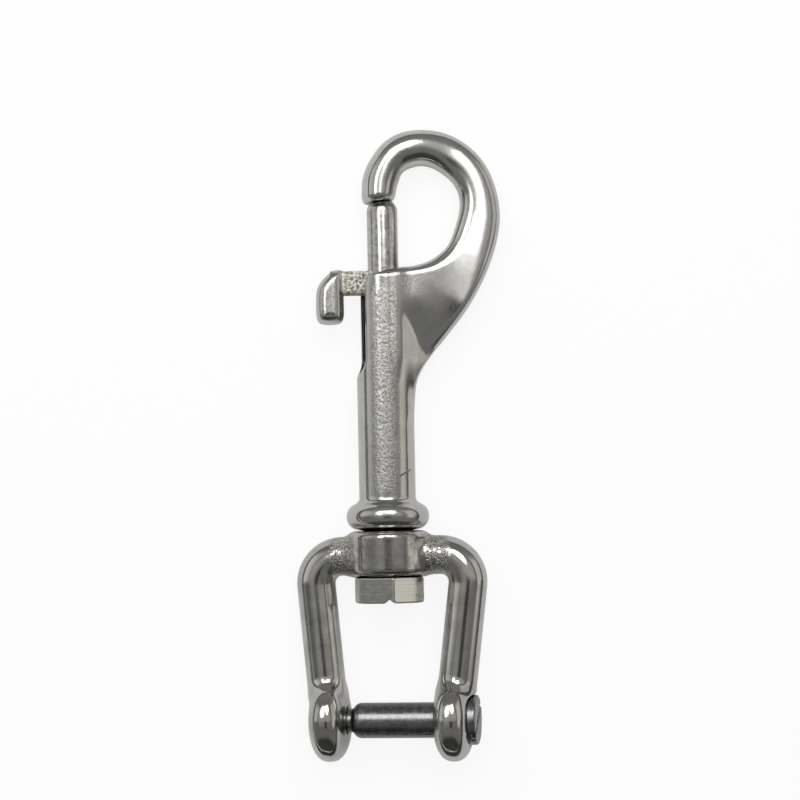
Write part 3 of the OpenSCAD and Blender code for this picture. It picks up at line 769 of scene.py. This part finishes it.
# %% Small helpers for node trees
def grow(tree, kind, inputs, **settings):
    """Adds a node. Each input takes a value or another node's output."""
    node = tree.nodes.new("ShaderNode" + kind)
    for name, value in settings.items():
        setattr(node, name, value)
    for key, value in inputs.items():
        if isinstance(value, bpy.types.NodeSocket):
            tree.links.new(value, node.inputs[key])
        else:
            node.inputs[key].default_value = value
    return node


def metal(name):
    """A metallic material, its shader, and the piece's coordinates in millimetres."""
    material = bpy.data.materials.new(name)
    material.use_nodes = True
    tree = material.node_tree
    shader = tree.nodes["Principled BSDF"]
    shader.inputs["Metallic"].default_value = 1.0
    place = grow(tree, "TexCoord", {})
    mm = grow(tree, "Mapping", {"Vector": place.outputs["Object"], "Scale": (1000, 1000, 1000)})
    return material, tree, shader, mm.outputs["Vector"]


def maths(tree, operation, a, b=0.0):
    return grow(tree, "Math", {0: a, 1: b}, operation=operation).outputs["Value"]


def times(tree, a, b):
    return maths(tree, "MULTIPLY", a, b)


def plus(tree, a, b):
    return maths(tree, "ADD", a, b)


def minus(tree, a, b):
    return maths(tree, "SUBTRACT", a, b)


def axes_of(tree, vector):
    """The X, Y and Z of a vector."""
    return grow(tree, "SeparateXYZ", {"Vector": vector}).outputs


print("helpers that grow nodes:", grow.__name__, metal.__name__, maths.__name__, axes_of.__name__)

# %% [markdown]
# ## Grain, windows and bumps
# Most marks on metal are a noise that shows only in one place. A noise gives the grain, a soft window
# says where it shows, and the two multiplied drive the colour, the roughness and the bump together.

# %% Helpers for marks on metal
def noise(tree, mm, size, detail=2.0, stretch=(1, 1, 1), roughness=0.5):
    """A noise whose grains are about so many millimetres wide."""
    scaled = grow(tree, "Mapping", {"Vector": mm, "Scale": stretch}).outputs["Vector"]
    settings = {"Vector": scaled, "Scale": 1 / size, "Detail": detail, "Roughness": roughness}
    return grow(tree, "TexNoise", settings).outputs["Fac"]


def spread(tree, value, low, high, to_low, to_high):
    """Stretches a value from one range to another, softly."""
    settings = {"Value": value, "From Min": low, "From Max": high, "To Min": to_low, "To Max": to_high}
    return grow(tree, "MapRange", settings, interpolation_type="SMOOTHSTEP").outputs["Result"]


def window(tree, value, low, high, soft):
    """1 between two values and 0 outside them."""
    rising = spread(tree, value, low - soft, low + soft, 0, 1)
    return times(tree, rising, spread(tree, value, high - soft, high + soft, 1, 0))


def mixed(tree, share, a, b):
    """One colour at share 0 and another at share 1."""
    return grow(tree, "Mix", {"Factor": share, "A": a, "B": b}, data_type="RGBA").outputs["Result"]


def tint(tree, share, dark, light):
    ramp = grow(tree, "ValToRGB", {"Fac": share})
    ramp.color_ramp.elements[0].color = (*dark, 1)
    ramp.color_ramp.elements[1].color = (*light, 1)
    return ramp.outputs["Color"]


def bump(tree, height, distance_mm, strength, under=None):
    inputs = {"Height": height, "Distance": distance_mm * MM, "Strength": strength}
    if under is not None:
        inputs["Normal"] = under
    return grow(tree, "Bump", inputs).outputs["Normal"]


print("helpers for marks:", noise.__name__, spread.__name__, window.__name__, tint.__name__, bump.__name__)

# %% [markdown]
# ## Polished casting
# A polished casting isn't a mirror. Tumbling leaves a slight orange peel and slow waves, which make the
# reflections wander. Along the front of the barrel the wheel didn't reach, so a strip keeps the pits of
# the mould, and a short hairline scratch crosses the barrel's back edge.

# %% The hook's metal
# Near black, painted into the lever slot's walls as a painted shade for the shadow inside the slot
SLOT_SHADE_PAINT = (0.035, 0.033, 0.03, 1)


def cast_steel():
    material, tree, shader, mm = metal("cast_steel")
    x, y, z = axes_of(tree, mm)
    fine, wave = noise(tree, mm, 0.35, 3), noise(tree, mm, 2.6, 1)
    pits = noise(tree, mm, 0.42, 3, (1, 0.8, 1), 0.6)
    # The pitted strip, and a fainter patch on the web's top
    front = spread(tree, z, 2.0, 3.4, 0, 1)
    strip = times(tree, window(tree, x, -2.3, 1.9, 0.7), window(tree, y, 41, 77, 1.5))
    web_top = times(tree, window(tree, x, 1.0, 7.5, 2.5), window(tree, y, 75.5, 80.5, 1.8))
    strip = times(tree, maths(tree, "MAXIMUM", strip, times(tree, web_top, 0.22)), front)
    pitted = times(tree, strip, spread(tree, pits, 0.44, 0.62, 0, 1))
    # The hairline scratch, along a slanting line
    scratch_line = maths(tree, "ABSOLUTE", minus(tree, minus(tree, y, 42.0), times(tree, x, 0.62)))
    scratch = times(tree, spread(tree, scratch_line, 0.05, 0.22, 1, 0), window(tree, x, 2.0, 4.2, 0.3))
    scratch = times(tree, scratch, front)
    strip_rough = times(tree, strip, spread(tree, pits, 0.4, 0.62, 0.1, 0.24))
    rough = plus(tree, spread(tree, fine, 0.3, 0.7, 0.16, 0.23), strip_rough)
    rough = plus(tree, rough, times(tree, scratch, 0.3))
    # The polishing wheel ran round the outline, so the sides are brighter than the front and the back
    facing = maths(tree, "ABSOLUTE", axes_of(tree, grow(tree, "TexCoord", {}).outputs["Normal"])["Z"])
    rough = times(tree, rough, spread(tree, facing, 0.55, 0.85, 0.4, 1))
    tree.links.new(rough, shader.inputs["Roughness"])
    grit = spread(tree, noise(tree, mm, 0.3, 2), 0.6, 0.72, 0, 0.25)
    shade = minus(tree, spread(tree, wave, 0.3, 0.7, 0.72, 0.82),
                  times(tree, strip, spread(tree, pits, 0.40, 0.60, -0.14, 0.46)))
    shade = plus(tree, shade, times(tree, grit, spread(tree, y, 62, 70, 0, 1)))
    shade = minus(tree, shade, times(tree, scratch, 0.9))
    steel = tint(tree, shade, (0.24, 0.23, 0.21), (0.78, 0.77, 0.74))
    # The slot's walls are painted near black, a painted shade for the shadow inside the slot
    radius = maths(tree, "SQRT", plus(tree, maths(tree, "POWER", x, 2.0), maths(tree, "POWER", z, 2.0)))
    slot_shade = times(tree, spread(tree, radius, 4.55, 4.85, 1, 0), spread(tree, x, -1.6, -1.2, 1, 0))
    slot_shade = times(tree, slot_shade, window(tree, y, 61.5, 79.6, 0.3))
    tree.links.new(mixed(tree, slot_shade, steel, SLOT_SHADE_PAINT), shader.inputs["Base Color"])
    normal = bump(tree, fine, 0.006, 0.6, bump(tree, wave, 0.006, 0.5))
    normal = bump(tree, times(tree, pitted, -1), 0.03, 0.8, normal)
    normal = bump(tree, times(tree, scratch, -1), 0.06, 1.0, normal)
    tree.links.new(normal, shader.inputs["Normal"])
    return material


hook.data.materials.append(cast_steel())
print("hook metal:", hook.data.materials[0].name, len(hook.data.materials[0].node_tree.nodes), "nodes")

# %% [markdown]
# ## The forged shackle
# The shackle shares the casting's steel but not its finish. Its legs are polished bright, while the roots
# of its arms keep a speckled skin and the hub is stained by handling.

# %% The shackle's metal
def shackle_steel():
    material, tree, shader, mm = metal("shackle_steel")
    x, y, _ = axes_of(tree, mm)
    fine, wave = noise(tree, mm, 0.4, 3), noise(tree, mm, 3.2, 1)
    stain = noise(tree, mm, 1.3, 4, (1, 1, 1), 0.6)
    side = maths(tree, "ABSOLUTE", x)
    root = times(tree, window(tree, side, 6.6, 10.2, 0.8), window(tree, y, 26.2, 34, 0.8))
    hub = times(tree, spread(tree, side, 5.8, 7.2, 1, 0), window(tree, y, 25.9, 33.2, 0.4))
    speckle = times(tree, root, spread(tree, noise(tree, mm, 0.45, 3), 0.42, 0.6, 0, 1))
    mottle = times(tree, hub, spread(tree, stain, 0.42, 0.62, 0, 1))
    rough = plus(tree, spread(tree, fine, 0.3, 0.7, 0.09, 0.14), times(tree, speckle, 0.25))
    tree.links.new(plus(tree, rough, times(tree, mottle, 0.12)), shader.inputs["Roughness"])
    shade = minus(tree, spread(tree, wave, 0.3, 0.7, 0.7, 1), times(tree, speckle, 0.35))
    shade = minus(tree, shade, times(tree, mottle, 0.42))
    tree.links.new(tint(tree, shade, (0.26, 0.24, 0.21), (0.68, 0.67, 0.64)), shader.inputs["Base Color"])
    normal = bump(tree, fine, 0.006, 0.6, bump(tree, wave, 0.01, 0.5))
    tree.links.new(bump(tree, speckle, 0.1, 1.0, normal), shader.inputs["Normal"])
    return material


shackle.data.materials.append(shackle_steel())
print("shackle metal:", shackle.data.materials[0].name)

# %% [markdown]
# ## The cast lever
# The lever's knob is satin from thumbs. Its arm was never polished, because it hides in the slot, and it
# keeps a skin that is half scale, so it scatters light as a mineral does.

# %% The lever's metal
def lever_steel():
    material, tree, shader, mm = metal("lever_steel")
    fine, grains = noise(tree, mm, 0.4, 3), noise(tree, mm, 0.55, 4, (1, 1, 1), 0.65)
    arm = spread(tree, axes_of(tree, mm)["X"], -7.6, -6.8, 0, 1)
    rough = plus(tree, spread(tree, fine, 0.3, 0.7, 0.18, 0.27), times(tree, arm, 0.3))
    tree.links.new(rough, shader.inputs["Roughness"])
    tree.links.new(minus(tree, 1.0, times(tree, arm, 0.55)), shader.inputs["Metallic"])
    scale = tint(tree, spread(tree, grains, 0.4, 0.6, 0, 1), (0.2, 0.19, 0.15), (1.0, 0.98, 0.88))
    steel = tint(tree, spread(tree, fine, 0.3, 0.7, 0, 1), (0.62, 0.61, 0.58), (0.71, 0.7, 0.67))
    tree.links.new(mixed(tree, arm, steel, scale), shader.inputs["Base Color"])
    normal = bump(tree, fine, 0.012, 0.6)
    tree.links.new(bump(tree, times(tree, arm, grains), 0.35, 1.0, normal), shader.inputs["Normal"])
    return material


lever.data.materials.append(lever_steel())
print("lever metal:", lever.data.materials[0].name)

# %% [markdown]
# ## Turned steel
# A lathe leaves rings round the work. On the plunger they run round Y, on the pin round its own axis.
# Stretching the noise far across the axis and little along it gives rings of uneven depth. The pin is
# darker than the rest: it was left as drawn, and it is scuffed in patches.

# %% Turned metals
def turned_steel(name, dark, light, smooth, coarse, worn=0.7, turn=0.0, along_x=False):
    material, tree, shader, mm = metal(name)
    turned = grow(tree, "Mapping", {"Vector": mm, "Rotation": (0, turn, 0)}).outputs["Vector"]
    stretch = (3.0, 0.02, 0.02) if along_x else (0.02, 3.0, 0.02)
    rings, wear = noise(tree, turned, 0.6, 3, stretch, 0.6), noise(tree, mm, 1.1, 4, (1, 1, 1), 0.6)
    shade = times(tree, spread(tree, rings, 0.3, 0.7, 0.75, 1), spread(tree, wear, 0.35, 0.65, worn, 1))
    tree.links.new(tint(tree, shade, dark, light), shader.inputs["Base Color"])
    tree.links.new(spread(tree, wear, 0.3, 0.7, smooth, coarse), shader.inputs["Roughness"])
    tree.links.new(bump(tree, rings, 0.004, 0.5, bump(tree, wear, 0.01, 0.4)), shader.inputs["Normal"])
    return material


bright = turned_steel("lathe_steel", (0.34, 0.33, 0.31), (0.76, 0.75, 0.73), 0.16, 0.26, 0.5)
face_cut = turned_steel("head_steel", (0.5, 0.49, 0.45), (0.9, 0.89, 0.82), 0.1, 0.18, 0.85)
dull = turned_steel("drawn_pin", (0.12, 0.12, 0.122), (0.34, 0.34, 0.345), 0.2, 0.36, 0.6, -SHACKLE_TURN, True)
wire = turned_steel("spring_wire", (0.30, 0.30, 0.29), (0.55, 0.55, 0.54), 0.2, 0.3)
for piece, coat in ((plunger, bright), (swivel_pin, face_cut), (shackle_pin, dull)):
    piece.data.materials.append(coat)
print("turned metals:", bright.name, face_cut.name, dull.name, wire.name)

# %% [markdown]
# ## The spring and the thread
# The spring stands in the barrel between the swivel pin and the plunger's tail. The thread is a fine
# ridge round the pin's thinner end. Its core is already part of the pin, so only the ridge is added.

# %% Make the coils
SPRING_FOOT, THREAD_FOOT = 41.45, -13.1
spring_place = Matrix.Translation((0, SPRING_FOOT * MM, 0)) @ to_y
thread_place = to_pin @ Matrix.Translation((0, 0, THREAD_FOOT * MM))
spring = coil("coil_spring", wire, spring_place, radius=2.31, wire=0.34, length=20.2, turns=8.0, steps=32)
thread = coil("pin_thread", dull, thread_place, radius=2.24, wire=0.19, length=4.3, turns=8.0, steps=40)

# %% [markdown]
# ## Ride and replace
# Each piece now rides on its CAD body and stands for its node, so the joints move it. The spring gets a
# mesh of its own.

# %% Tie the pieces to the bodies
PLACES = [
    (hook, "hook", "hook_body", "cast_stainless"),
    (plunger, "bolt", "plunger", "turned_stainless"),
    (lever, "bolt", "thumb_lever", "cast_stainless"),
    (spring, "hook", "plunger_spring", "spring_steel"),
    (swivel_pin, "hook", "swivel_pin", "turned_stainless"),
    (shackle, "shackle", "shackle", "cast_stainless"),
    (shackle_pin, "pin", "shackle_pin", "pin_steel"),
    (thread, "pin", "shackle_pin", "pin_steel"),
]
for piece, body, node, finish in PLACES:
    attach(piece, body)
    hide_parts(node)
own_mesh(spring)
print("pieces:", len(PLACES))

# %% [markdown]
# ## The camera
# The camera looks almost straight down on the hook as it lies on a table, and it leans as the
# photograph's camera does. A long lens keeps the perspective weak.

# %% The camera
def camera_frame(towards, up):
    """A turn whose Z axis points towards the camera and whose Y axis is as near to up as it can be."""
    back = Vector(towards).normalized()
    right = Vector(up).cross(back).normalized()
    return Matrix((right, back.cross(right), back)).transposed().to_4x4()


LOOK_AT, CAMERA_DISTANCE = Vector((2.58, 57.1, 0)) * MM, 430 * MM
TO_CAMERA, PICTURE_UP = Vector((-0.045, -0.056, 1)).normalized(), (0.02, 1, 0)
lens = bpy.data.cameras.new("camera")
lens.sensor_width, lens.lens = 36, 107.8
lens.clip_start, lens.clip_end = 0.01, 10
camera = in_scene("camera", lens)
camera_place = Matrix.Translation(LOOK_AT + TO_CAMERA * CAMERA_DISTANCE)
camera.matrix_world = camera_place @ camera_frame(TO_CAMERA, PICTURE_UP)
bpy.context.scene.camera = camera
print("camera at", [round(v / MM, 1) for v in camera.location], "mm")

# %% [markdown]
# ## The table
# The table is square to the line of sight and just under the lowest vertex. Its material shows the camera
# one thing and the steel another. The camera sees white all over. Light and mirrored rays find a grey
# sheet on a nearly black desk, and the desk's edge draws a dark line round each polished form.

# %% The table
HALF_TABLE, TABLE_GAP, TABLE_MIDDLE = 0.8, 0.0002, 0.057
bpy.context.view_layer.update()
depths = [TO_CAMERA.dot(p.matrix_world @ v.co) for p, *_ in PLACES for v in p.data.vertices]
corners = [(HALF_TABLE * i, HALF_TABLE * j, 0) for i, j in ((-1, -1), (1, -1), (1, 1), (-1, 1))]
table_mesh = bpy.data.meshes.new("table")
table_mesh.from_pydata(corners, [], [(0, 1, 2, 3)])
table = in_scene("table", table_mesh)
table_place = Matrix.Translation(TO_CAMERA * (min(depths) - TABLE_GAP))
table_turn = camera_frame(TO_CAMERA, (0, 1, 0))
table.matrix_world = table_place @ table_turn @ Matrix.Translation((0, TABLE_MIDDLE, 0))
table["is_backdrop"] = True
print("table is", round(-min(depths) / MM, 1), "mm below the middle of the pin")

# %% [markdown]
# ## The table's paint
# Light Path tells the three kinds of ray apart. For camera rays a share of plain white is mixed in, and
# the rest stays paint, so the floor keeps a faint shadow. For mirrored rays that share is small.

# %% The table's material
SHEET_EDGE, SHEET_END = 0.095, 0.105
CAMERA_WHITE, MIRRORED_WHITE, CAMERA_PAINT = 0.88, 0.1, (0.95, 0.95, 0.95, 1)
DESK_PAINT, SHEET_PAINT = (0.04, 0.04, 0.04), (0.6, 0.6, 0.6)


def mirrored_rays(tree, path):
    """1 for a ray that was mirrored or let through, and 0 for any other."""
    return maths(tree, "MAXIMUM", path["Is Glossy Ray"], path["Is Transmission Ray"])


def table_white():
    material = bpy.data.materials.new("table_white")
    material.use_nodes = True
    tree = material.node_tree
    paint, end = tree.nodes["Principled BSDF"], tree.nodes["Material Output"]
    paint.inputs["Roughness"].default_value = 0.7
    x, y, _ = axes_of(tree, grow(tree, "TexCoord", {}).outputs["Object"])
    reach = maths(tree, "MAXIMUM", maths(tree, "ABSOLUTE", x), maths(tree, "ABSOLUTE", y))
    sheet = spread(tree, reach, SHEET_EDGE, SHEET_END, 1, 0)
    path = grow(tree, "LightPath", {}).outputs
    shown = mixed(tree, path["Is Camera Ray"], tint(tree, sheet, DESK_PAINT, SHEET_PAINT), CAMERA_PAINT)
    tree.links.new(shown, paint.inputs["Base Color"])
    mirrored = times(tree, times(tree, mirrored_rays(tree, path), sheet), MIRRORED_WHITE)
    seen = maths(tree, "MAXIMUM", times(tree, path["Is Camera Ray"], CAMERA_WHITE), mirrored)
    white = grow(tree, "Emission", {"Color": (1, 1, 1, 1), "Strength": 1.0}).outputs["Emission"]
    both = grow(tree, "MixShader", {"Fac": seen, 1: paint.outputs["BSDF"], 2: white})
    tree.links.new(both.outputs["Shader"], end.inputs["Surface"])
    return material


table_mesh.materials.append(table_white())
print("table's material:", table_mesh.materials[0].name)

# %% [markdown]
# ## The room
# Polished steel shows the room more than itself, so the room matters. It is drawn by direction alone: a
# grey ceiling, a warm wall to the right and a paler one to the left, a dark gap where wall and table
# meet, and the dark shape of the camera overhead.

# %% Colours by height
def ramp(tree, share, stops):
    node = grow(tree, "ValToRGB", {"Fac": share})
    elements = node.color_ramp.elements
    while len(elements) > 1:
        elements.remove(elements[-1])
    elements[0].position, elements[0].color = stops[0][0], (*stops[0][1], 1)
    for place, color in stops[1:]:
        elements.new(place).color = (*color, 1)
    return node.outputs["Color"]


def grey(v, warm=0.0):
    return (v * (1 + warm), v, v * (1 - 2 * warm))


def room_side(tree, height, stops):
    """The room's grey by height, from 0 at the horizon to 1 straight up. A stop is height, grey, warmth."""
    return ramp(tree, height, [(at, grey(value, warm)) for at, value, warm in stops])


# The half of the room with the lights in it: a warm wall to the right and a pale one to the left
WARM_LIT = [
    (0, 0.05, 0), (0.06, 0.05, 0), (0.1, 0.52, 0.03), (0.6, 0.56, 0.03), (0.63, 0.14, 0), (0.7, 0.14, 0),
    (0.76, 0.38, 0.01), (1, 0.4, 0.01),
]
PALE_LIT = [
    (0, 0.06, 0), (0.04, 0.06, 0), (0.1, 0.64, 0), (0.36, 0.62, 0), (0.55, 0.46, 0), (0.7, 0.3, 0),
    (0.88, 0.42, 0.01), (1, 0.4, 0.01),
]
# The half behind the camera is darker
WARM_DIM = [
    (0, 0.06, 0), (0.1, 0.08, 0), (0.22, 0.35, 0.02), (0.3, 0.62, 0.03), (0.52, 0.72, 0.03), (0.6, 0.2, 0),
    (0.75, 0.17, 0), (1, 0.24, 0.01),
]
PALE_DIM = [
    (0, 0.05, 0), (0.05, 0.06, 0), (0.14, 0.32, 0), (0.26, 0.26, 0), (0.4, 0.12, 0), (0.62, 0.14, 0),
    (0.85, 0.28, 0), (1, 0.26, 0.01),
]
print("stops on each wall:", [len(stops) for stops in (WARM_LIT, PALE_LIT, WARM_DIM, PALE_DIM)])

# %% [markdown]
# ## Painting the room
# The four walls are blended by direction. Then darker bands are laid over them, low down behind
# the camera and high up beyond the hook's top. To the camera the world is plain white, and so is its
# bottom half to rays that the steel mirrors past the table's edge.

# %% The world
def room_colour(tree):
    dx, dy, dz = axes_of(tree, grow(tree, "TexCoord", {}).outputs["Generated"])
    right = spread(tree, dx, -0.08, 0.08, 0, 1)
    dim = mixed(tree, right, room_side(tree, dz, PALE_DIM), room_side(tree, dz, WARM_DIM))
    lit = mixed(tree, right, room_side(tree, dz, PALE_LIT), room_side(tree, dz, WARM_LIT))
    room = mixed(tree, spread(tree, dy, -0.03, 0.06, 0, 1), dim, lit)
    room = mixed(tree, spread(tree, dy, -0.3, -0.08, 1, 0), room, (*grey(0.18), 1))
    room = mixed(tree, spread(tree, dy, -0.78, -0.6, 1, 0), room, (*grey(0.05), 1))
    room = mixed(tree, spread(tree, dy, 0.5, 0.72, 0, 1), room, (*grey(0.2), 1))
    # The camera and its mount stand out dark against the ceiling
    holder = times(tree, window(tree, dy, -0.3, 0.02, 0.02), spread(tree, dz, 0.85, 0.9, 0, 1))
    holder = times(tree, window(tree, dx, -0.23, 0.12, 0.03), holder)
    return mixed(tree, times(tree, holder, 0.85), room, (*grey(0.03), 1)), dz


world = bpy.data.worlds.new("room")
bpy.context.scene.world = world
world.use_nodes = True
room_tree = world.node_tree
backdrop, world_end = room_tree.nodes["Background"], room_tree.nodes["World Output"]
room, height = room_colour(room_tree)
room_tree.links.new(room, backdrop.inputs["Color"])
backdrop.inputs["Strength"].default_value = 1.0
beyond = grow(room_tree, "Background", {"Color": (1, 1, 1, 1), "Strength": 1.0}).outputs["Background"]
path = grow(room_tree, "LightPath", {}).outputs
below = times(room_tree, mirrored_rays(room_tree, path), spread(room_tree, height, -0.06, -0.02, 1, 0))
white_share = maths(room_tree, "MAXIMUM", path["Is Camera Ray"], below)
both = grow(room_tree, "MixShader", {"Fac": white_share, 1: backdrop.outputs["Background"], 2: beyond})
room_tree.links.new(both.outputs["Shader"], world_end.inputs["Surface"])
print("room:", len(room_tree.nodes), "nodes")

# %% [markdown]
# ## The soft lights
# Three round lamps towards the hook's top give the steel its long highlights. A fourth, broad and
# straight above, evens the table out. It isn't mirrored, so it draws nothing on the steel.

# %% The soft lights
def soft_light(name, place, size, power):
    light = bpy.data.lights.new(name, "AREA")
    light.shape, light.size, light.size_y, light.energy = "ELLIPSE", size[0], size[1], power
    lamp = in_scene(name, light)
    lamp.location = place
    lamp.visible_camera = False
    return lamp


lamps = [
    soft_light("left_light", (-0.21, 0.28, 0.43), (0.165, 0.35), 0.5),
    soft_light("right_light", (0.05, 0.31, 0.43), (0.22, 0.30), 0.55),
    soft_light("bridge_light", (-0.09, 0.36, 0.43), (0.16, 0.16), 0.2),
    soft_light("fill_light", (0, 0.06, 0.9), (0.6, 0.6), 3.3),
]
lamps[-1].visible_glossy = False
print("lights:", [(lamp.name, round(lamp.data.energy, 2)) for lamp in lamps], "W")

# %% [markdown]
# ## The end
# Standard shows each colour about as it is written. The two boxes say whether the dressed hook is still
# as big as the CAD's.

# %% Look settings, sizes and the end
bpy.context.scene.view_settings.view_transform = "Standard"
seen_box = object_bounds()
for name, box in (("CAD", cad_box), ("visual", seen_box)):
    print(name, "sides:", [round(side / MM, 1) for side in box[1] - box[0]], "mm")
